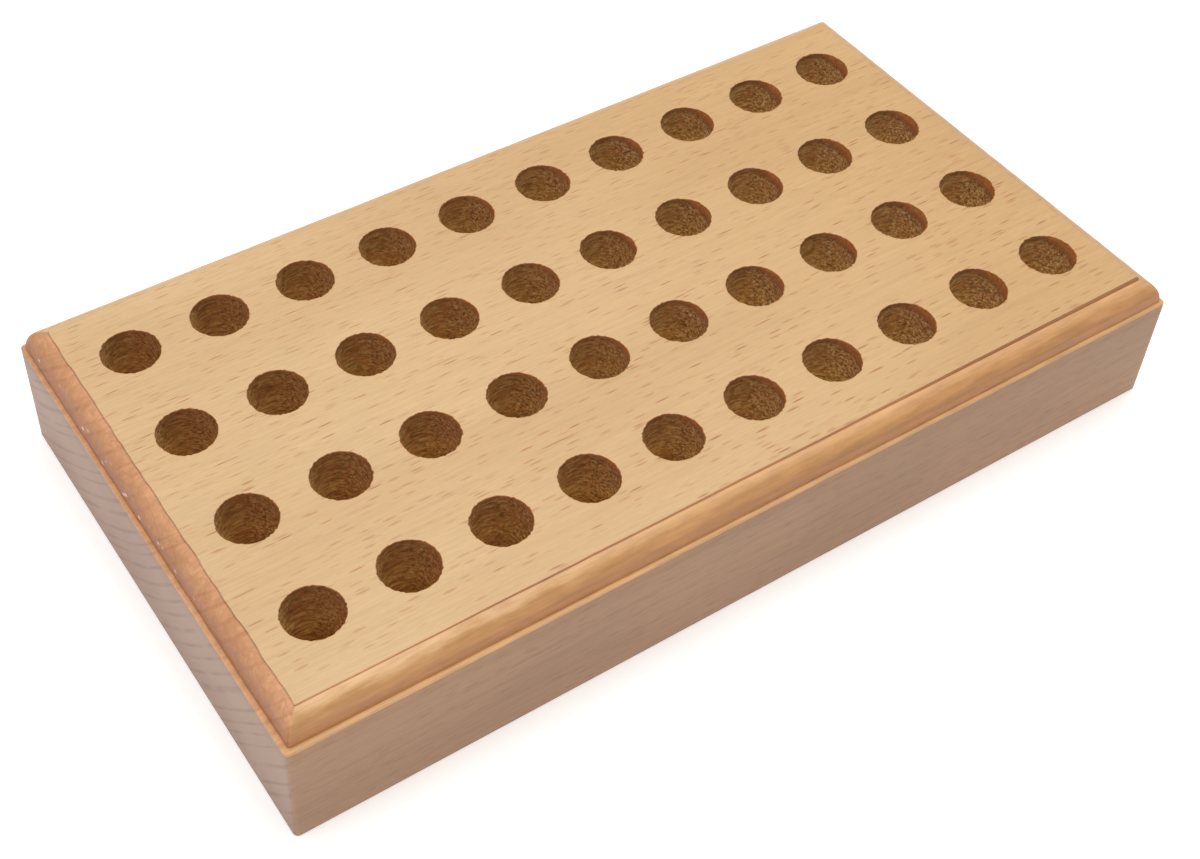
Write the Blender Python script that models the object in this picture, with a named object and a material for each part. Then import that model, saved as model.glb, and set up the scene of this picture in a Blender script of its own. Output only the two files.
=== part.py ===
"""Drilled hardwood block that stands on a bench and holds 40 hobby tools upright.

One board of beech carries a regular grid of blind round holes in its top face.
An ovolo moulding (a small step, a convex bead and a narrow flat shelf) runs
round all four top edges. Units are metres and +Z is up. The origin is the
centre of the underside. +X runs along the grain and the long side, +Y to the back.
"""

import math

import bmesh
import bpy

# Grid of tool holes
HOLE_COLUMNS = 10
HOLE_ROWS = 4
COLUMN_PITCH = 0.0165
ROW_PITCH = 0.0212
HOLE_DIAMETER = 0.010
HOLE_DEPTH = 0.019
HOLE_SIDES = 24

# Board around the grid: from the outer hole centres to the edge of the flat top
END_MARGIN = 0.010
FRONT_MARGIN = 0.013
BACK_MARGIN = 0.012
BLOCK_HEIGHT = 0.027

# Moulding round the top edges
MOULDING_WIDTH = 0.004
MOULDING_HEIGHT = 0.0048
STEP_HEIGHT = 0.0004       # vertical step between the flat top and the bead
SHELF_WIDTH = 0.0010       # flat shelf outside the bead
BEAD_SEGMENTS = 8

# Sanded corners
CORNER_RADIUS = 0.0009     # the four upright corners
CORNER_SEGMENTS = 4
ARRIS = 0.0003             # bevel on the shelf's lip and along the underside

CUTTER_OVERRUN = 0.002     # how far a hole cutter stands above the top face

GRID_LENGTH = (HOLE_COLUMNS - 1) * COLUMN_PITCH
GRID_WIDTH = (HOLE_ROWS - 1) * ROW_PITCH
BLOCK_LENGTH = GRID_LENGTH + 2 * (END_MARGIN + MOULDING_WIDTH)
BLOCK_WIDTH = GRID_WIDTH + FRONT_MARGIN + BACK_MARGIN + 2 * MOULDING_WIDTH
GRID_SHIFT = 0.5 * (FRONT_MARGIN - BACK_MARGIN)   # the grid sits this far behind the middle


def clear_scene():
    for item in list(bpy.data.objects):
        bpy.data.objects.remove(item, do_unlink=True)


def beech():
    material = bpy.data.materials.new("oiled_beech")
    material.use_nodes = True
    shader = material.node_tree.nodes["Principled BSDF"]
    shader.inputs["Base Color"].default_value = (0.68, 0.46, 0.26, 1.0)
    shader.inputs["Roughness"].default_value = 0.5
    shader.inputs["Metallic"].default_value = 0.0
    return material


def edge_profile():
    """Inset from the block's outer faces and height, from the underside to the flat top."""
    shelf_height = BLOCK_HEIGHT - MOULDING_HEIGHT
    bead_width = MOULDING_WIDTH - SHELF_WIDTH
    bead_height = MOULDING_HEIGHT - STEP_HEIGHT
    profile = [
        (ARRIS, 0.0),
        (0.0, ARRIS),
        (0.0, shelf_height - ARRIS),
        (ARRIS, shelf_height),
    ]
    for step in range(BEAD_SEGMENTS + 1):
        angle = 0.5 * math.pi * step / BEAD_SEGMENTS
        inset = MOULDING_WIDTH - bead_width * math.cos(angle)
        profile.append((inset, shelf_height + bead_height * math.sin(angle)))
    profile.append((MOULDING_WIDTH, BLOCK_HEIGHT))
    return profile


def outline(inset, height):
    """Rectangle with rounded corners, counter-clockwise seen from above."""
    radius = max(CORNER_RADIUS - inset, 0.25 * CORNER_RADIUS)
    half_length = 0.5 * BLOCK_LENGTH - inset - radius
    half_width = 0.5 * BLOCK_WIDTH - inset - radius
    corners = ((1, 1), (-1, 1), (-1, -1), (1, -1))
    points = []
    for quarter, (side_x, side_y) in enumerate(corners):
        for step in range(CORNER_SEGMENTS + 1):
            angle = 0.5 * math.pi * (quarter + step / CORNER_SEGMENTS)
            x = side_x * half_length + radius * math.cos(angle)
            y = side_y * half_width + radius * math.sin(angle)
            points.append((x, y, height))
    return points


def moulded_board():
    """Closed mesh of the board: one ring of points for each point of the edge profile."""
    mesh = bmesh.new()
    rings = []
    for inset, height in edge_profile():
        rings.append([mesh.verts.new(point) for point in outline(inset, height)])
    count = len(rings[0])
    for lower, upper in zip(rings, rings[1:]):
        for start in range(count):
            end = (start + 1) % count
            mesh.faces.new((lower[start], lower[end], upper[end], upper[start]))
    mesh.faces.new(list(reversed(rings[0])))
    mesh.faces.new(rings[-1])
    return mesh


def hole_cutters():
    """One closed cylinder for each hole, all in one mesh."""
    mesh = bmesh.new()
    bottom = BLOCK_HEIGHT - HOLE_DEPTH
    top = BLOCK_HEIGHT + CUTTER_OVERRUN
    for column in range(HOLE_COLUMNS):
        for row in range(HOLE_ROWS):
            made = bmesh.ops.create_cone(
                mesh,
                cap_ends=True,
                segments=HOLE_SIDES,
                radius1=0.5 * HOLE_DIAMETER,
                radius2=0.5 * HOLE_DIAMETER,
                depth=top - bottom,
            )
            place = (
                column * COLUMN_PITCH - 0.5 * GRID_LENGTH,
                row * ROW_PITCH - 0.5 * GRID_WIDTH + GRID_SHIFT,
                0.5 * (top + bottom),
            )
            bmesh.ops.translate(mesh, verts=made["verts"], vec=place)
    return mesh


def add_object(name, mesh_builder):
    data = bpy.data.meshes.new(name)
    mesh = mesh_builder()
    mesh.to_mesh(data)
    mesh.free()
    item = bpy.data.objects.new(name, data)
    bpy.context.scene.collection.objects.link(item)
    return item


def holder_block():
    block = add_object("holder_block", moulded_board)
    block.data.materials.append(beech())
    block.data.shade_smooth()
    block.data.set_sharp_from_angle(angle=math.radians(30))
    cutter = add_object("hole_cutter", hole_cutters)
    cutter.hide_render = True
    cutter.display_type = "WIRE"
    drill = block.modifiers.new("drill", "BOOLEAN")
    drill.operation = "DIFFERENCE"
    drill.solver = "EXACT"
    drill.object = cutter
    return block


clear_scene()
holder_block()
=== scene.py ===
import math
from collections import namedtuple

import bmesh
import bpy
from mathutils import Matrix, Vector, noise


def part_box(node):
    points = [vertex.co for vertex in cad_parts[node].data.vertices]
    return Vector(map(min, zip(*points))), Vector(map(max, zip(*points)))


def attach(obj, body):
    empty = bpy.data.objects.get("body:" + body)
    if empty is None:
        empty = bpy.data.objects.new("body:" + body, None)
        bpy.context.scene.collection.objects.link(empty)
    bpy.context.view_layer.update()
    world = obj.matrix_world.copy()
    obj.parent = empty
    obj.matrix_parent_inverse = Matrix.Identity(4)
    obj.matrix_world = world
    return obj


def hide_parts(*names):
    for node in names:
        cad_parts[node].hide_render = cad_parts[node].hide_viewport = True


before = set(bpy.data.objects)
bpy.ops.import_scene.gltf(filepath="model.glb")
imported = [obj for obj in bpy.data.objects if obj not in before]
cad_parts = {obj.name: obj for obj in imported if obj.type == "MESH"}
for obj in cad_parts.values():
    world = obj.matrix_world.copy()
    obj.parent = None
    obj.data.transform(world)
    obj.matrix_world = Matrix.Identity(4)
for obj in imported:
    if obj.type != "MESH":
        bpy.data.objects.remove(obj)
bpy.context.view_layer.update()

# Looks of the drilled beech block. One fine mesh, built ring by ring, stands for the CAD
# node holder_block: same size, same holes, same moulding, with softened rims, drilled
# walls and a hand-sanded moulding. All of its finishes are cut from one piece of wood, a
# solid texture of growth rings, ray flecks and fibres in the block's own coordinates.

MM = 0.001

# ------------------------------------------------------------------ sizes of the block

block_low, block_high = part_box("holder_block")
BLOCK_LENGTH = block_high.x - block_low.x
BLOCK_WIDTH = block_high.y - block_low.y
BLOCK_HEIGHT = block_high.z - block_low.z

HOLE_COLUMNS = 10
HOLE_ROWS = 4
COLUMN_PITCH = 16.5 * MM
ROW_PITCH = 21.2 * MM
GRID_SHIFT = 0.5 * MM              # the grid sits this far behind the block's middle
HOLE_RADIUS = 5.0 * MM
HOLE_DEPTH = 19.0 * MM
GRID_LENGTH = (HOLE_COLUMNS - 1) * COLUMN_PITCH
GRID_WIDTH = (HOLE_ROWS - 1) * ROW_PITCH

RIM_RADIUS = 0.14 * MM             # softened edge where a hole meets the top
RIM_BLEND = 6 * RIM_RADIUS         # how far out from the wall the first ring on the top lies
RIM_TEAR = 0.20 * MM               # fibres torn out of the rim by the drill
WALL_TEAR = 0.09 * MM              # roughness of the drilled wall
TEAR_LENGTH = 0.9 * MM             # how far down the wall one torn place reaches
TEARS_ROUND = 11                   # radius of the circle read from the noise round a hole
FLOOR_FILLET = 0.35 * MM
POINT_RADIUS = 1.1 * MM            # dimple left by the drill's centre point
POINT_DEPTH = 0.9 * MM

MOULDING_WIDTH = 4.0 * MM
MOULDING_HEIGHT = 4.8 * MM
SHELF_WIDTH = 1.0 * MM
STEP_LEFT = 0.25 * MM              # the step above the bead grows from the left end
STEP_RIGHT = 0.60 * MM             # to the right end, because the cutter ran off level
LIP_RADIUS = 0.35 * MM
FOOT_RADIUS = 0.30 * MM
CORNER_RADIUS = 0.9 * MM
STEP_DRIFT = 0.40 * MM             # how much further in the step sits at the right end
SHELF_DRIFT = 0.40 * MM            # how much narrower the shelf is at the right and the back
SANDING_WAVE = 0.12 * MM           # how far the sanded lip and bead wander
END_GRAIN_WAVE = 0.24 * MM         # extra wander where the cutter crossed the end grain
END_STEP = 0.06 * MM               # how much higher the step is there
SANDING_LENGTH = 14 * MM           # distances over which the two wanders turn
END_GRAIN_LENGTH = 2.6 * MM
STEP_EDGE = 0.10 * MM              # bevel on the step's upper edge

# ------------------------------------------------------------------ fineness of the mesh

CELL_STEPS = 20                    # mesh steps along one side of a hole's cell
RING_STEPS = 4 * CELL_STEPS        # mesh steps round a hole
UPPER_WALL_STEPS = 11              # fine rings on the part of the wall that can be seen
LOWER_WALL_STEPS = 3
BEAD_STEPS = 12
ARC_STEPS = 3                      # mesh steps over a small rounded edge
CORNER_STEPS = 4
SHARP_ANGLE = 38                   # edges sharper than this many degrees stay sharp

# Places in the noise: one for each hole, and one for each wander of the moulding
FIRST_HOLE_SEED = 10.0
COLUMN_SEED = 3.7
ROW_SEED = 41.0
SANDING_SEED = 2.0
END_GRAIN_SEED = 7.0

# Material slots of the mesh, in order; an end-grain slot follows its long-grain one
FACE, STEP_LONG, STEP_END, BEAD_LONG, BEAD_END, SIDE_LONG, SIDE_END, BORE = range(8)
PAIRED_SLOTS = (STEP_LONG, BEAD_LONG, SIDE_LONG)
FACE_RINGS = 2                     # rings of a hole that still look like the top


# ------------------------------------------------------------------ shape

def wander(x, y, seed, wavelength):
    """Smooth repeatable noise from -1 to 1 over the block's plan."""
    return noise.noise(Vector((x / wavelength, y / wavelength, seed)))


def quarter_turn():
    """Angles over a small rounded edge, from 0 to a right angle."""
    return [0.5 * math.pi * step / ARC_STEPS for step in range(ARC_STEPS + 1)]


def cell_border(step):
    """Whole-number place on a cell's border, counter-clockwise from the middle of its +X side."""
    half = CELL_STEPS // 2
    side, along = divmod((step + half) % RING_STEPS, CELL_STEPS)
    across = along - half
    return ((half, across), (-across, half), (-half, -across), (across, -half))[side]


class TopGrid:
    """Points of the flat top, shared by neighbouring hole cells."""

    def __init__(self, mesh):
        self.mesh = mesh
        self.points = {}

    def point(self, column_step, row_step):
        key = (column_step, row_step)
        if key not in self.points:
            x = column_step * COLUMN_PITCH / CELL_STEPS - 0.5 * GRID_LENGTH
            y = row_step * ROW_PITCH / CELL_STEPS - 0.5 * GRID_WIDTH + GRID_SHIFT
            self.points[key] = self.mesh.verts.new((x, y, BLOCK_HEIGHT))
        return self.points[key]

    def border(self):
        """The four outer sides, each a list of points, counter-clockwise from the front left."""
        half = CELL_STEPS // 2
        left, right = -half, (HOLE_COLUMNS - 1) * CELL_STEPS + half
        front, back = -half, (HOLE_ROWS - 1) * CELL_STEPS + half
        columns = range(left, right + 1)
        rows = range(front, back + 1)
        return [
            [self.point(c, front) for c in columns],
            [self.point(right, r) for r in rows],
            [self.point(c, back) for c in reversed(columns)],
            [self.point(left, r) for r in reversed(rows)],
        ]


def join_rings(mesh, outer, inner, slot):
    """Quads between two closed rings; outer runs counter-clockwise seen from the open side."""
    count = len(outer)
    for start in range(count):
        end = (start + 1) % count
        face = mesh.faces.new((outer[start], outer[end], inner[end], inner[start]))
        face.material_index = slot


def hole_profile():
    """Radius and depth down a hole from its rim to its floor, and how much the wall is torn."""
    profile = [(HOLE_RADIUS + RIM_BLEND, 0.0, 0.0)]
    for angle in quarter_turn():
        radius = HOLE_RADIUS + RIM_RADIUS * (1 - math.sin(angle))
        profile.append((radius, RIM_RADIUS * (1 - math.cos(angle)), RIM_TEAR))
    stretches = (
        (3 * RIM_RADIUS, 0.5 * HOLE_DEPTH, UPPER_WALL_STEPS),
        (0.5 * HOLE_DEPTH, HOLE_DEPTH - FLOOR_FILLET, LOWER_WALL_STEPS),
    )
    for start, end, steps in stretches:
        for step in range(steps):
            profile.append((HOLE_RADIUS, start + (end - start) * step / steps, WALL_TEAR))
    for step in range(3):
        angle = 0.25 * math.pi * step
        radius = HOLE_RADIUS - FLOOR_FILLET * (1 - math.cos(angle))
        depth = HOLE_DEPTH - FLOOR_FILLET * (1 - math.sin(angle))
        profile.append((radius, depth, 0.5 * WALL_TEAR))
    profile.append((0.6 * HOLE_RADIUS, HOLE_DEPTH, 0.0))
    profile.append((POINT_RADIUS, HOLE_DEPTH, 0.0))
    profile.append((0.35 * POINT_RADIUS, HOLE_DEPTH + 0.7 * POINT_DEPTH, 0.0))
    return profile


def drill_hole(mesh, grid, column, row):
    """One hole, from its cell's border on the top down to its floor."""
    centre_x = column * COLUMN_PITCH - 0.5 * GRID_LENGTH
    centre_y = row * ROW_PITCH - 0.5 * GRID_WIDTH + GRID_SHIFT
    seed = FIRST_HOLE_SEED + COLUMN_SEED * column + ROW_SEED * row
    ring = []
    for step in range(RING_STEPS):
        across, along = cell_border(step)
        ring.append(grid.point(column * CELL_STEPS + across, row * CELL_STEPS + along))
    for order, (radius, depth, tear) in enumerate(hole_profile()):
        inner = []
        for step in range(RING_STEPS):
            angle = 2 * math.pi * step / RING_STEPS
            place_x = TEARS_ROUND * math.cos(angle)
            place_y = TEARS_ROUND * math.sin(angle)
            place = Vector((place_x, place_y, seed + depth / TEAR_LENGTH))
            reach = radius + tear * noise.noise(place)
            x = centre_x + reach * math.cos(angle)
            y = centre_y + reach * math.sin(angle)
            inner.append(mesh.verts.new((x, y, BLOCK_HEIGHT - depth)))
        join_rings(mesh, ring, inner, FACE if order < FACE_RINGS else BORE)
        ring = inner
    tip = mesh.verts.new((centre_x, centre_y, BLOCK_HEIGHT - HOLE_DEPTH - POINT_DEPTH))
    for step in range(RING_STEPS):
        face = mesh.faces.new((ring[step], ring[(step + 1) % RING_STEPS], tip))
        face.material_index = BORE


def step_height(x):
    """Height of the step above the bead, which grows from the left end to the right."""
    along = x / BLOCK_LENGTH + 0.5
    return STEP_LEFT + (STEP_RIGHT - STEP_LEFT) * along


# One line of points along the moulding, and the slot of the band between it and the line
# above. The shares, from 0 to 1, say how much the line sinks with the step, drifts inwards
# with the step's upper edge, drifts outwards with the bead's foot, and wanders.
Line = namedtuple("Line", "inset height slot sink top foot sway", defaults=(0.0, 0.0, 0.0, 0.0))


def moulding_profile():
    """From the flat top outwards and down to the underside."""
    shelf = BLOCK_HEIGHT - MOULDING_HEIGHT
    bead_width = MOULDING_WIDTH - SHELF_WIDTH
    profile = [
        Line(MOULDING_WIDTH + 8 * STEP_EDGE, BLOCK_HEIGHT, FACE, top=1.0),
        Line(MOULDING_WIDTH + STEP_EDGE, BLOCK_HEIGHT, FACE, top=1.0, sway=1.0),
        Line(MOULDING_WIDTH, BLOCK_HEIGHT - STEP_EDGE, STEP_LONG, top=1.0, sway=1.0),
    ]
    for step in range(BEAD_STEPS + 1):
        angle = 0.5 * math.pi * (1 - step / BEAD_STEPS)
        rise = math.sin(angle)
        inset = MOULDING_WIDTH - bead_width * math.cos(angle)
        height = shelf + MOULDING_HEIGHT * rise
        slot = BEAD_LONG if step else STEP_LONG
        profile.append(Line(inset, height, slot, sink=rise, foot=1 - rise, sway=0.3))
    for angle in quarter_turn():
        inset = LIP_RADIUS * (1 - math.sin(angle))
        height = shelf - LIP_RADIUS * (1 - math.cos(angle))
        profile.append(Line(inset, height, BEAD_LONG, sway=0.3))
    for share in (0.85, 0.5, 0.15):
        height = FOOT_RADIUS + share * (shelf - LIP_RADIUS - FOOT_RADIUS)
        profile.append(Line(0.0, height, SIDE_LONG))
    for angle in quarter_turn():
        inset = FOOT_RADIUS * (1 - math.cos(angle))
        height = FOOT_RADIUS * (1 - math.sin(angle))
        profile.append(Line(inset, height, SIDE_LONG))
    return profile


def outline_places(inset, sides):
    """(x, y, outward x, outward y) round the block, counter-clockwise from the front left.

    Each side starts with its corner's arc, then takes as many steps as sides says.
    """
    radius = max(CORNER_RADIUS - inset, 0.5 * CORNER_RADIUS)
    half_x = 0.5 * BLOCK_LENGTH - inset
    half_y = 0.5 * BLOCK_WIDTH - inset
    corners = ((-half_x, -half_y), (half_x, -half_y), (half_x, half_y), (-half_x, half_y))
    places = []
    for side in range(4):
        start, end = corners[side], corners[(side + 1) % 4]
        along = Vector((end[0] - start[0], end[1] - start[1])).normalized()
        outward = Vector((along.y, -along.x))
        centre = Vector(start) + radius * (along - outward)
        for step in range(CORNER_STEPS):
            turn = 0.5 * math.pi * step / CORNER_STEPS
            away = outward * math.sin(turn) - along * math.cos(turn)
            places.append((*(centre + radius * away), *away))
        first = Vector(start) + radius * along
        last = Vector(end) - radius * along
        for step in range(sides[side]):
            place = first.lerp(last, step / sides[side])
            places.append((*place, *outward))
    return places


def moulding_ring(mesh, line, sides):
    """Points of one line of the moulding, all the way round the block."""
    ring = []
    for x, y, out_x, out_y in outline_places(line.inset, sides):
        rightness = x / BLOCK_LENGTH + 0.5
        farness = math.sqrt(max(rightness, y / BLOCK_WIDTH + 0.5))
        level = line.height / MM
        sway = SANDING_WAVE * (wander(x, y, SANDING_SEED + level, SANDING_LENGTH) - 0.3)
        end_wander = wander(x, y, END_GRAIN_SEED + level, END_GRAIN_LENGTH)
        sway += abs(out_x) * END_GRAIN_WAVE * end_wander
        sway *= line.sway
        sway += line.foot * farness * SHELF_DRIFT - line.top * rightness ** 3 * STEP_DRIFT
        sway = min(sway, line.inset)
        height = line.height - line.sink * (step_height(x) + abs(out_x) * END_STEP)
        ring.append(mesh.verts.new((x + sway * out_x, y + sway * out_y, height)))
    return ring


def slot_for(base_slot, place, sides):
    """Long-grain or end-grain version of a slot, by which side of the block a face is on."""
    side_lengths = [CORNER_STEPS + steps for steps in sides]
    place = (place - CORNER_STEPS // 2) % sum(side_lengths)
    for side, length in enumerate(side_lengths):
        if place < length:
            break
        place -= length
    return base_slot + side % 2 if base_slot in PAIRED_SLOTS else base_slot


def run_moulding(mesh, grid):
    """Rings of points from the drilled grid's border out over the moulding to the underside."""
    border = grid.border()
    sides = [len(points) - 1 for points in border]
    profile = moulding_profile()
    rings = [moulding_ring(mesh, line, sides) for line in profile]
    count = len(rings[0])
    for line, inner, outer in zip(profile[1:], rings, rings[1:]):
        for start in range(count):
            end = (start + 1) % count
            face = mesh.faces.new((outer[start], outer[end], inner[end], inner[start]))
            face.material_index = slot_for(line.slot, start, sides)
    place = 0
    top_ring = rings[0]
    for points in border:
        for _ in range(CORNER_STEPS):
            mesh.faces.new((top_ring[place], top_ring[place + 1], points[0]))
            place += 1
        for near, far in zip(points, points[1:]):
            end = (place + 1) % count
            mesh.faces.new((top_ring[place], top_ring[end], far, near))
            place += 1
    underside = mesh.faces.new(list(reversed(rings[-1])))
    underside.material_index = SIDE_LONG


def holder_block_mesh():
    """The whole block as one closed mesh."""
    mesh = bmesh.new()
    grid = TopGrid(mesh)
    for column in range(HOLE_COLUMNS):
        for row in range(HOLE_ROWS):
            drill_hole(mesh, grid, column, row)
    run_moulding(mesh, grid)
    data = bpy.data.meshes.new("holder_block_fine")
    mesh.to_mesh(data)
    mesh.free()
    data.shade_smooth()
    data.set_sharp_from_angle(angle=math.radians(SHARP_ANGLE))
    return data


# ------------------------------------------------------------------ wood as a solid texture

# The tree's centre line runs along X, above and behind the block (millimetres).
PITH_Y = 130.0
PITH_Z = 142.0
MEAN_RING_RADIUS = 185.0

WOOD_IOR = 1.45
BUMP_DISTANCE = 0.1 * MM


class Nodes:
    """Small helper that adds shader nodes to one material and links them."""

    def __init__(self, material):
        material.use_nodes = True
        self.material = material
        self.tree = material.node_tree
        self.shader = self.tree.nodes["Principled BSDF"]

    def put(self, socket, value):
        if isinstance(value, bpy.types.NodeSocket):
            self.tree.links.new(value, socket)
        else:
            socket.default_value = value

    def math(self, operation, first, second=0.0, third=0.0):
        node = self.tree.nodes.new("ShaderNodeMath")
        node.operation = operation
        for socket, value in zip(node.inputs, (first, second, third)):
            self.put(socket, value)
        return node.outputs[0]

    def vector(self, x, y, z):
        node = self.tree.nodes.new("ShaderNodeCombineXYZ")
        for socket, value in zip(node.inputs, (x, y, z)):
            self.put(socket, value)
        return node.outputs[0]

    def noise(self, vector, detail=2.0, roughness=0.5, scale=1.0):
        node = self.tree.nodes.new("ShaderNodeTexNoise")
        self.put(node.inputs["Vector"], vector)
        node.inputs["Scale"].default_value = scale
        node.inputs["Detail"].default_value = detail
        node.inputs["Roughness"].default_value = roughness
        return node.outputs["Fac"]

    def cells(self, vector):
        node = self.tree.nodes.new("ShaderNodeTexVoronoi")
        self.put(node.inputs["Vector"], vector)
        node.inputs["Scale"].default_value = 1.0
        return node

    def fade(self, value, low, high, start=0.0, end=1.0):
        """Smooth step of value from low to high, giving start to end."""
        node = self.tree.nodes.new("ShaderNodeMapRange")
        node.interpolation_type = "SMOOTHSTEP"
        for socket, number in zip(node.inputs, (value, low, high, start, end)):
            self.put(socket, number)
        return node.outputs[0]

    def mix(self, share, first, second, blend="MIX"):
        node = self.tree.nodes.new("ShaderNodeMix")
        node.data_type = "RGBA"
        node.blend_type = blend
        self.put(node.inputs["Factor"], share)
        for name, value in (("A", first), ("B", second)):
            socket = next(s for s in node.inputs if s.name == name and s.type == "RGBA")
            self.put(socket, (*value, 1.0) if isinstance(value, tuple) else value)
        return next(s for s in node.outputs if s.type == "RGBA")

    def from_middle(self, value, pitch):
        """Distance from the middle of the repeat of that pitch in which value lies."""
        return self.math("SUBTRACT", self.math("WRAP", value, pitch, 0.0), 0.5 * pitch)

    def tint(self, share, colour, tint):
        """Colour multiplied by tint, as far as share says."""
        return self.mix(share, colour, tint, "MULTIPLY")

    def scale_colour(self, colour, factor):
        """Colour times a number."""
        node = self.tree.nodes.new("ShaderNodeVectorMath")
        node.operation = "SCALE"
        self.put(node.inputs[0], colour)
        self.put(node.inputs["Scale"], factor)
        return node.outputs[0]

    def bump(self, height, strength, distance):
        node = self.tree.nodes.new("ShaderNodeBump")
        node.inputs["Strength"].default_value = strength
        node.inputs["Distance"].default_value = distance
        self.put(node.inputs["Height"], height)
        self.put(self.shader.inputs["Normal"], node.outputs["Normal"])


class Wood:
    """Growth rings, ray flecks and fibres of the one board, as sockets from 0 to 1."""

    def __init__(self, nodes):
        self.nodes = nodes
        n = nodes
        coordinates = n.tree.nodes.new("ShaderNodeTexCoord")
        split = n.tree.nodes.new("ShaderNodeSeparateXYZ")
        n.tree.links.new(coordinates.outputs["Object"], split.inputs[0])
        self.x, self.y, self.z = (n.math("DIVIDE", axis, MM) for axis in split.outputs)
        across = n.math("SUBTRACT", self.y, PITH_Y)
        up = n.math("SUBTRACT", self.z, PITH_Z)
        square = n.math("MULTIPLY_ADD", across, across, n.math("MULTIPLY", up, up))
        self.radius = n.math("SQRT", square)
        self.arc = n.math("MULTIPLY", n.math("ARCTAN2", up, across), MEAN_RING_RADIUS)

    def along(self, length, width, depth=None, offset=0.0):
        """Coordinates stretched with the grain: x by length, arc by width, radius by depth."""
        n = self.nodes
        depth = width if depth is None else depth
        x = n.math("MULTIPLY_ADD", self.x, 1.0 / length, offset)
        arc = n.math("DIVIDE", self.arc, width)
        radius = n.math("DIVIDE", self.radius, depth)
        return n.vector(x, arc, radius)

    def rings(self):
        """Thin soft lines of late wood at uneven spacing, stronger in some years than others."""
        n = self.nodes
        bend = n.math("SUBTRACT", n.noise(self.along(200.0, 60.0, 90.0), detail=1.0), 0.5)
        bent = n.math("MULTIPLY_ADD", bend, 4.0, self.radius)
        spread = n.noise(n.vector(n.math("DIVIDE", bent, 6.0), 3.1, 0.0), detail=1.0)
        phase = n.math("MULTIPLY_ADD", spread, 2.0, n.math("DIVIDE", bent, 2.5))
        from_line = n.math("ABSOLUTE", n.math("SUBTRACT", n.math("FRACT", phase), 0.5))
        line = n.fade(from_line, 0.04, 0.19, 1.0, 0.0)
        strength = n.noise(self.along(90.0, 9.0, 3.5), detail=1.0)
        return n.math("MULTIPLY", line, n.fade(strength, 0.3, 0.65, 0.15, 1.0))

    def flecks(self, width, length, crowding, offset):
        """Spindle-shaped ends of the rays; crowding is a fleck's share of its cell."""
        n = self.nodes
        node = n.cells(self.along(0.5 * length / crowding, 0.5 * width / crowding, 14.0, offset))
        distance = node.outputs["Distance"]
        spot = n.fade(distance, 0.45 * crowding, 1.10 * crowding, 1.0, 0.0)
        tone = n.tree.nodes.new("ShaderNodeSeparateXYZ")
        n.tree.links.new(node.outputs["Color"], tone.inputs[0])
        return n.math("MULTIPLY", spot, n.fade(tone.outputs[0], 0.0, 0.9, 0.1, 1.0))

    def fibres(self):
        """Long fine streaks."""
        n = self.nodes
        return n.noise(self.along(9.0, 0.42), detail=3.0, roughness=0.6)

    def pores(self):
        """Short specks, finer than the fibres."""
        n = self.nodes
        return n.noise(self.along(1.6, 0.13), detail=2.0, roughness=0.6)

    def patches(self):
        """Broad uneven colour, longer along the grain."""
        return self.nodes.noise(self.along(60.0, 22.0), detail=2.0)

    def left_to_right(self):
        """0 at the block's left end to 1 at its right end. It steers the board's tone along the
        block (more orange to the right), and also painted light and painted highlights that change
        from left to right.
        """
        half = 0.5 * BLOCK_LENGTH / MM
        return self.nodes.fade(self.x, -half, half)


def finish_surface(nodes, colour, roughness, height, bump_strength):
    nodes.put(nodes.shader.inputs["Base Color"], colour)
    nodes.put(nodes.shader.inputs["Roughness"], roughness)
    nodes.shader.inputs["IOR"].default_value = WOOD_IOR
    nodes.bump(height, bump_strength, BUMP_DISTANCE)


def grain_colour(n, wood, light, dark, fleck, amounts):
    """Colour and height of beech. Colours are linear; amounts say how strongly each part shows."""
    fibres = wood.fibres()
    pores = wood.pores()
    share = n.math("MULTIPLY", wood.rings(), amounts["rings"])
    share = n.math("MULTIPLY_ADD", n.fade(wood.patches(), 0.3, 0.7), amounts["patches"], share)
    colour = n.mix(n.math("MINIMUM", share, 1.0), light, dark)
    faint = wood.flecks(0.27, 3.0, 0.30, 0.0)
    bold = wood.flecks(0.22, 3.4, 0.20, 7.3)
    long_flecks = wood.flecks(0.20, 9.0, 0.07, 3.1)
    colour = n.mix(n.math("MULTIPLY", faint, amounts["faint_flecks"]), colour, fleck)
    for spots in (bold, long_flecks):
        colour = n.mix(n.math("MULTIPLY", spots, amounts["bold_flecks"]), colour, fleck)
    grain = n.math("MULTIPLY_ADD", fibres, amounts["fibres"], 1.0 - 0.5 * amounts["fibres"])
    speck = n.math("MULTIPLY_ADD", pores, amounts["pores"], 1.0 - 0.5 * amounts["pores"])
    colour = n.scale_colour(colour, n.math("MULTIPLY", grain, speck))
    height = n.math("MULTIPLY_ADD", pores, 0.5, fibres)
    return colour, n.math("SUBTRACT", height, n.math("MULTIPLY", bold, 0.4))


def new_wood(name):
    n = Nodes(bpy.data.materials.new(name))
    return n, Wood(n)


def face_beech():
    n, wood = new_wood("oiled_beech_face")
    amounts = {
        "rings": 0.20, "patches": 0.45, "faint_flecks": 0.50, "bold_flecks": 0.90,
        "fibres": 0.30, "pores": 0.18,
    }
    colour, height = grain_colour(
        n, wood, (0.645, 0.437, 0.230), (0.55, 0.345, 0.165), (0.42, 0.160, 0.066), amounts
    )
    # Darker and more orange towards the right end: partly the board's own tone, partly painted
    # light standing for the sheen on the top's left part.
    colour = n.tint(wood.left_to_right(), colour, (0.94, 0.87, 0.77))
    finish_surface(n, colour, n.fade(height, 0.5, 1.0, 0.42, 0.56), height, 0.25)
    return n.material


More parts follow.
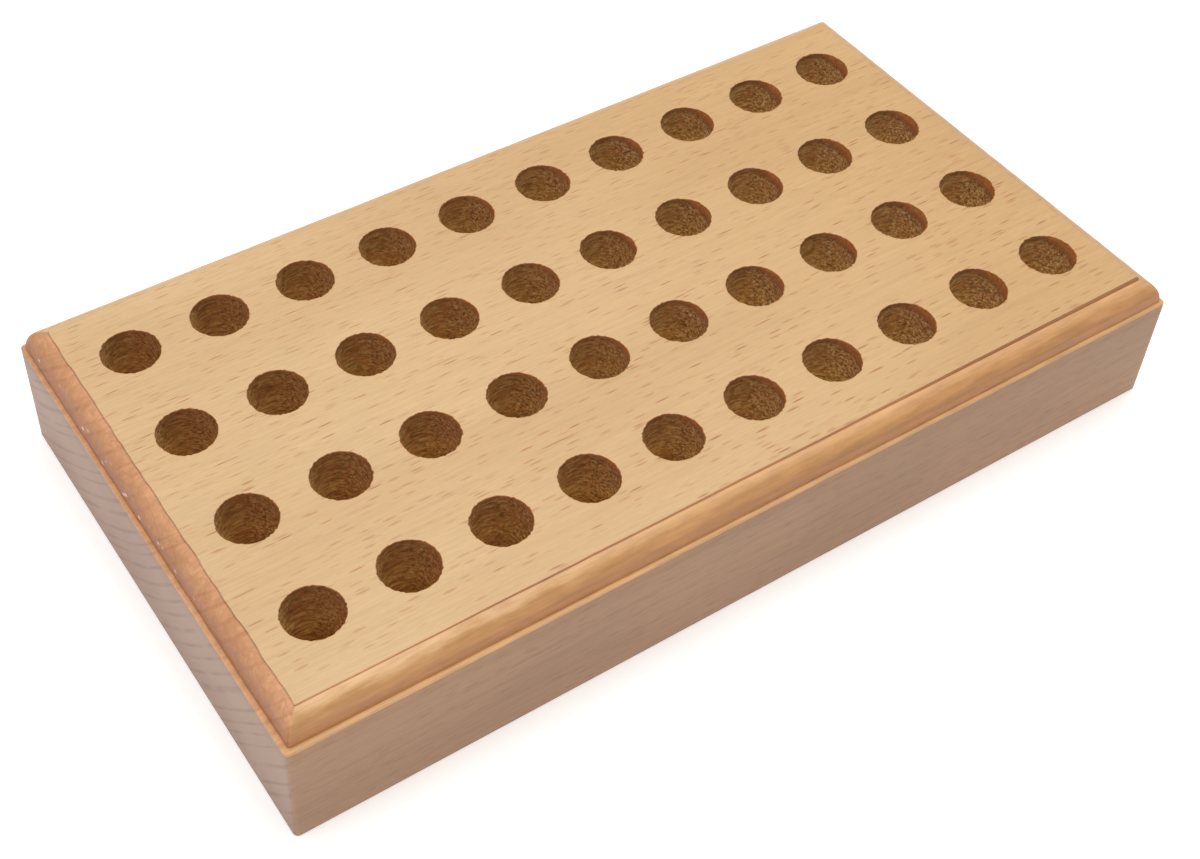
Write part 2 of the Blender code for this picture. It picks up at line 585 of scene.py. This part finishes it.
def side_beech(name, light, dark, fleck, amounts, foot_tint):
    """Upright side; foot_tint multiplies its colour beside the underside. On the long sides it is
    painted light that lifts the floor's contact shadow.
    """
    n, wood = new_wood(name)
    colour, height = grain_colour(n, wood, light, dark, fleck, amounts)
    low = n.fade(wood.z, 0.0, 9.0, 1.0, 0.0)
    colour = n.tint(low, colour, foot_tint)
    finish_surface(n, colour, n.fade(height, 0.5, 1.0, 0.46, 0.60), height, 0.25)
    return n.material


def side_long_beech():
    amounts = {
        "rings": 0.30, "patches": 0.60, "faint_flecks": 0.35, "bold_flecks": 0.55,
        "fibres": 0.55, "pores": 0.30,
    }
    # Colours darker than the top's, partly as painted shade for the weaker light on the upright
    # sides; the foot tint above 1 is painted light over the contact shadow.
    return side_beech(
        "oiled_beech_side", (0.402, 0.231, 0.130), (0.315, 0.180, 0.104), (0.17, 0.08, 0.045),
        amounts, (1.10, 1.10, 1.12)
    )


def side_end_beech():
    amounts = {
        "rings": 0.65, "patches": 0.35, "faint_flecks": 0.10, "bold_flecks": 0.15,
        "fibres": 0.20, "pores": 0.30,
    }
    return side_beech(
        "oiled_beech_end", (0.372, 0.238, 0.178), (0.25, 0.150, 0.104), (0.25, 0.14, 0.09),
        amounts, (0.96, 0.92, 0.86)
    )


class Moulding:
    """Burnished moulding, lighter on the lip; darker at the bead's foot as painted shade and
    lighter over its crest as painted light.
    """

    def __init__(self, name, foot, crest, lip, amounts, blotch_length):
        self.nodes, self.wood = new_wood(name)
        n, wood = self.nodes, self.wood
        self.above_shelf = n.math("SUBTRACT", wood.z, (BLOCK_HEIGHT - MOULDING_HEIGHT) / MM)
        shelf = n.fade(self.above_shelf, 0.02, 0.30, 1.0, 0.0)
        # Foot to crest by height: painted shade at the bead's foot, painted light over its crest.
        light = n.mix(shelf, n.mix(n.fade(self.above_shelf, 1.0, 4.4), foot, crest), lip)
        dark = n.tint(1.0, light, (0.72, 0.62, 0.55))
        fleck = n.tint(1.0, light, (0.62, 0.50, 0.42))
        colour, self.height = grain_colour(n, wood, light, dark, fleck, amounts)
        place = n.vector(n.math("DIVIDE", wood.x, blotch_length), wood.y, wood.z)
        self.blotches = n.noise(place, scale=0.8)
        self.colour = n.scale_colour(colour, n.fade(self.blotches, 0.25, 0.75, 0.90, 1.10))

    def finish(self, shine, lumps):
        """Returns the material. Lumps says how far its blotches stand out."""
        n = self.nodes
        roughness = n.fade(self.blotches, 0.3, 0.7, 0.28, 0.46)
        height = n.math("MULTIPLY_ADD", self.blotches, lumps, self.height)
        finish_surface(n, self.colour, roughness, height, 0.35)
        n.shader.inputs["Specular IOR Level"].default_value = shine
        return n.material


def moulding_long_beech():
    """The front bead, with a patchy painted highlight along its crest towards the left, and the
    back bead painted paler as a highlight along the far edge.
    """
    amounts = {
        "rings": 0.25, "patches": 0.30, "faint_flecks": 0.05, "bold_flecks": 0.05,
        "fibres": 0.36, "pores": 0.12,
    }
    moulding = Moulding(
        "burnished_beech_long", (0.485, 0.215, 0.072), (0.645, 0.355, 0.150), (0.67, 0.38, 0.174),
        amounts, blotch_length=4.5
    )
    n, wood, height = moulding.nodes, moulding.wood, moulding.above_shelf
    # Painted highlight: pale patches along the crest of the front bead's left part.
    crest = n.math("MULTIPLY", n.fade(height, 3.0, 4.0), n.fade(height, 4.8, 4.4))
    painted_highlight = n.math("MULTIPLY", crest, n.fade(wood.left_to_right(), 0.45, 0.0))
    painted_highlight = n.math("MULTIPLY", painted_highlight, n.fade(moulding.blotches, 0.30, 0.72))
    colour = n.mix(n.math("MULTIPLY", painted_highlight, 0.38), moulding.colour, (0.84, 0.62, 0.39))
    # Paler towards the back: painted highlight where the back bead shows at the far edge.
    moulding.colour = n.mix(n.fade(wood.y, -10.0, 10.0, 0.0, 0.7), colour, (0.62, 0.43, 0.25))
    return moulding.finish(shine=0.5, lumps=0.5)


def moulding_end_beech():
    """The end beads, with drag marks and pale torn crumbs; the right-hand bead is painted paler as
    a highlight where it is seen edge-on.
    """
    amounts = {
        "rings": 0.35, "patches": 0.50, "faint_flecks": 0.15, "bold_flecks": 0.20,
        "fibres": 0.30, "pores": 0.30,
    }
    moulding = Moulding(
        "burnished_beech_end", (0.39, 0.155, 0.070), (0.635, 0.337, 0.176), (0.655, 0.36, 0.185),
        amounts, blotch_length=2.0
    )
    n, wood, height = moulding.nodes, moulding.wood, moulding.above_shelf
    place = n.vector(wood.x, n.math("DIVIDE", wood.y, 1.6), wood.z)
    contour = n.math("ABSOLUTE", n.math("SUBTRACT", n.noise(place, scale=0.30), 0.5))
    drag = n.math("MULTIPLY", n.fade(contour, 0.0, 0.05, 0.35, 0.0), n.fade(height, 0.3, 0.8))
    drag = n.math("MULTIPLY", drag, n.fade(moulding.blotches, 0.35, 0.60))
    colour = n.mix(drag, moulding.colour, (0.34, 0.16, 0.08))
    crumbs = n.cells(n.vector(wood.x, n.math("DIVIDE", wood.y, 2.4), wood.z))
    spot = n.fade(crumbs.outputs["Distance"], 0.12, 0.28, 0.8, 0.0)
    hollow = n.math("MULTIPLY", n.fade(height, 0.4, 1.0), n.fade(height, 3.0, 1.6))
    spot = n.math("MULTIPLY", spot, n.math("MULTIPLY", n.fade(wood.y, -30.0, 5.0), hollow))
    colour = n.mix(spot, colour, (0.85, 0.66, 0.50))
    # Paler at the right end: painted highlight along the right-hand bead.
    moulding.colour = n.mix(n.fade(wood.x, -10.0, 10.0, 0.0, 0.6), colour, (0.62, 0.43, 0.26))
    return moulding.finish(shine=0.25, lumps=1.2)


def step_beech(name, light, dark):
    """The cut above the bead, browned by the cutter."""
    n, wood = new_wood(name)
    amounts = {
        "rings": 0.30, "patches": 0.80, "faint_flecks": 0.0, "bold_flecks": 0.0,
        "fibres": 0.40, "pores": 0.40,
    }
    colour, height = grain_colour(n, wood, light, dark, dark, amounts)
    colour = n.tint(wood.left_to_right(), colour, (0.76, 0.70, 0.62))
    finish_surface(n, colour, n.fade(height, 0.5, 1.0, 0.45, 0.65), height, 0.35)
    return n.material


def step_long_beech():
    return step_beech("browned_beech_long", (0.64, 0.33, 0.16), (0.44, 0.20, 0.09))


def step_end_beech():
    return step_beech("browned_beech_end", (0.60, 0.33, 0.19), (0.40, 0.20, 0.11))


# The side of a right-hand hole towards which the painted shade crescent below the rim runs
# deepest, as a direction from its axis
SHADE_CRESCENT_X = 0.84
SHADE_CRESCENT_Y = -0.54


class Bore:
    """Places and noises shared by all the parts of a drilled wall's look, in millimetres."""

    def __init__(self, n, wood):
        place = n.vector(wood.x, wood.y, wood.z)
        self.left_to_right = wood.left_to_right()
        self.depth = n.math("SUBTRACT", BLOCK_HEIGHT / MM, wood.z)
        self.axis_x = n.from_middle(wood.x, COLUMN_PITCH / MM)
        from_grid = n.math("SUBTRACT", wood.y, GRID_SHIFT / MM)
        self.axis_y = n.from_middle(from_grid, ROW_PITCH / MM)
        self.across = n.fade(n.math("ABSOLUTE", self.axis_x), 1.5, 4.2, 0.30, 1.0)
        self.lumps = n.noise(place, detail=2.0, roughness=0.6, scale=0.8)
        self.crumbs = n.noise(place, detail=2.0, roughness=0.6, scale=2.0)
        self.streaks = n.noise(wood.along(3.4, 0.5), detail=3.0, roughness=0.65)


def drilled_grain(n, bore):
    """Streaks where the drill ran along the grain; where it ran across, dark pits, partly painted
    shade in the torn hollows, and painted glints.
    """
    colour = n.mix(n.fade(bore.streaks, 0.36, 0.66), (0.30, 0.12, 0.033), (0.74, 0.42, 0.15))
    colour = n.mix(n.fade(bore.lumps, 0.42, 0.62, 0.0, 0.6), colour, (0.54, 0.22, 0.062))
    # Dark pits: partly painted shade in the torn hollows.
    pits = n.math("MULTIPLY", n.fade(bore.crumbs, 0.46, 0.34), bore.across)
    colour = n.mix(n.math("MULTIPLY", pits, 0.80), colour, (0.18, 0.07, 0.025))
    # Painted glints: pale specks of highlight, stronger towards the right-hand columns.
    painted_glints = n.math("MULTIPLY", n.fade(bore.crumbs, 0.56, 0.68), bore.across)
    painted_glints = n.math("MULTIPLY", painted_glints, n.fade(bore.left_to_right, 0.0, 1.0, 0.35, 0.80))
    return n.mix(painted_glints, colour, (0.86, 0.62, 0.34))


def paint_bore_light(n, bore, colour):
    """Paler further down and towards -X, and lighter in the right-hand columns: after one overall
    lift, painted light and painted shade on the drilled wall.
    """
    painted_sheen = n.math("MULTIPLY", n.fade(bore.axis_x, -1.5, -4.4), n.fade(bore.left_to_right, 1.0, 0.0))
    # After the first overall lift: painted light deeper down, painted shade towards +X, a painted
    # greyish sheen towards -X in the left-hand columns, and painted light in the right-hand
    # columns.
    tints = (
        (1.0, (1.34, 1.70, 1.74)),
        (n.fade(bore.depth, 9.5, 3.0), (0.70, 0.60, 0.60)),
        (n.fade(bore.axis_x, -4.5, 4.5), (0.75, 0.62, 0.60)),
        (painted_sheen, (1.5, 1.8, 2.0)),
        (bore.left_to_right, (1.29, 1.54, 1.70)),
    )
    for share, tint in tints:
        colour = n.tint(share, colour, tint)
    return colour


def rim_band_and_shade(n, bore, colour):
    """A smoother, redder band below the rim, and a dark line under it painted as shade.

    In the right-hand columns the band runs deeper on the side towards +X and -Y, as a painted
    shade crescent.
    """
    towards_y = n.math("MULTIPLY", bore.axis_y, SHADE_CRESCENT_Y)
    crescent_side = n.math("MULTIPLY_ADD", bore.axis_x, SHADE_CRESCENT_X, towards_y)
    # Painted shade crescent: extra depth of the band towards +X and -Y in the right-hand columns.
    reach = n.math("MULTIPLY", n.fade(crescent_side, -1.0, 5.0), bore.left_to_right)
    reach = n.math("MULTIPLY_ADD", reach, 1.9, 0.25)
    below = n.math("SUBTRACT", n.math("MULTIPLY_ADD", bore.lumps, 0.8, bore.depth), reach)
    colour = n.mix(n.fade(below, 0.1, 0.9, 0.75, 0.0), colour, (0.52, 0.17, 0.04))
    # Painted shade: dark line along the band's lower edge.
    crease = n.math("MULTIPLY", n.fade(below, -0.9, 0.75), n.fade(below, 1.6, 0.75))
    crease = n.math("MULTIPLY", crease, n.fade(bore.left_to_right, 0.0, 1.0, 0.25, 0.6))
    colour = n.mix(crease, colour, (0.22, 0.08, 0.03))
    # Painted shade on the rounded rim.
    return n.scale_colour(colour, n.fade(bore.depth, 0.0, 0.4, 0.75, 1.0))


def bore_beech():
    """Drilled wall of a hole."""
    n, wood = new_wood("drilled_beech")
    bore = Bore(n, wood)
    colour = rim_band_and_shade(n, bore, paint_bore_light(n, bore, drilled_grain(n, bore)))
    height = n.math("ADD", n.math("MULTIPLY", bore.crumbs, bore.across), bore.streaks)
    finish_surface(n, colour, n.fade(bore.crumbs, 0.3, 0.7, 0.70, 0.45), height, 0.9)
    return n.material


# ------------------------------------------------------------------ the piece

def make_block():
    piece = bpy.data.objects.new("holder_block_fine", holder_block_mesh())
    bpy.context.scene.collection.objects.link(piece)
    makers = {
        FACE: face_beech,
        STEP_LONG: step_long_beech,
        STEP_END: step_end_beech,
        BEAD_LONG: moulding_long_beech,
        BEAD_END: moulding_end_beech,
        SIDE_LONG: side_long_beech,
        SIDE_END: side_end_beech,
        BORE: bore_beech,
    }
    for slot in sorted(makers):
        piece.data.materials.append(makers[slot]())
    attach(piece, "root")
    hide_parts("holder_block")


# ------------------------------------------------------------------ floor, light and camera

FLOOR_REACH = 6.0                  # metres from the floor's middle to each of its edges
WHITE = (1.0, 1.0, 1.0, 1.0)
DAYLIGHT = (1.0, 0.985, 0.96)
COOL_DAYLIGHT = (0.98, 0.99, 1.0)


def make_floor():
    data = bpy.data.meshes.new("floor")
    mesh = bmesh.new()
    bmesh.ops.create_grid(mesh, x_segments=1, y_segments=1, size=FLOOR_REACH)
    mesh.to_mesh(data)
    mesh.free()
    floor = bpy.data.objects.new("floor", data)
    bpy.context.scene.collection.objects.link(floor)
    material = bpy.data.materials.new("pale_floor")
    n = Nodes(material)
    grain = n.noise(n.tree.nodes.new("ShaderNodeTexCoord").outputs["Object"], scale=40.0)
    n.put(n.shader.inputs["Base Color"], n.mix(grain, (0.94, 0.94, 0.94), (0.96, 0.96, 0.96)))
    n.shader.inputs["Roughness"].default_value = 0.9
    n.shader.inputs["Specular IOR Level"].default_value = 0.1
    n.shader.inputs["Emission Color"].default_value = WHITE
    n.shader.inputs["Emission Strength"].default_value = 0.28
    data.materials.append(material)


def soft_sun(name, towards, spread, strength, colour):
    """Even light from a broad round patch of sky; towards points from the block to its middle."""
    data = bpy.data.lights.new(name, "SUN")
    data.angle = math.radians(spread)
    data.energy = strength
    data.color = colour
    light = bpy.data.objects.new(name, data)
    light.rotation_euler = Vector(towards).to_track_quat("Z", "Y").to_euler()
    bpy.context.scene.collection.objects.link(light)


def make_world():
    """White backdrop for the camera, and a dimmer even light from all round for the block."""
    world = bpy.data.worlds.new("studio")
    world.use_nodes = True
    tree = world.node_tree
    lit = tree.nodes["Background"]
    lit.inputs["Color"].default_value = WHITE
    lit.inputs["Strength"].default_value = 0.12
    seen = tree.nodes.new("ShaderNodeBackground")
    seen.inputs["Color"].default_value = WHITE
    rays = tree.nodes.new("ShaderNodeLightPath")
    choice = tree.nodes.new("ShaderNodeMixShader")
    tree.links.new(rays.outputs["Is Camera Ray"], choice.inputs["Fac"])
    tree.links.new(lit.outputs[0], choice.inputs[1])
    tree.links.new(seen.outputs[0], choice.inputs[2])
    tree.links.new(choice.outputs[0], tree.nodes["World Output"].inputs["Surface"])
    bpy.context.scene.world = world


def make_lights():
    soft_sun("overhead", (0.0, 0.05, 1.0), 100, 2.3, DAYLIGHT)
    soft_sun("window", (0.30, 0.22, 0.93), 30, 0.65, DAYLIGHT)
    soft_sun("left_fill", (-0.75, -0.10, 0.65), 60, 0.65, COOL_DAYLIGHT)


def make_camera():
    data = bpy.data.cameras.new("camera")
    data.lens = 57.0
    data.sensor_width = 36.0
    data.shift_x = 0.063
    data.shift_y = -0.0539
    camera = bpy.data.objects.new("camera", data)
    camera.location = (-0.14391, -0.18763, 0.25486)
    camera.rotation_euler = (
        math.radians(44.077),
        math.radians(-1.178),
        math.radians(-32.946),
    )
    bpy.context.scene.collection.objects.link(camera)
    bpy.context.scene.camera = camera


make_block()
make_floor()
make_world()
make_lights()
make_camera()
bpy.context.scene.view_settings.view_transform = "Standard"
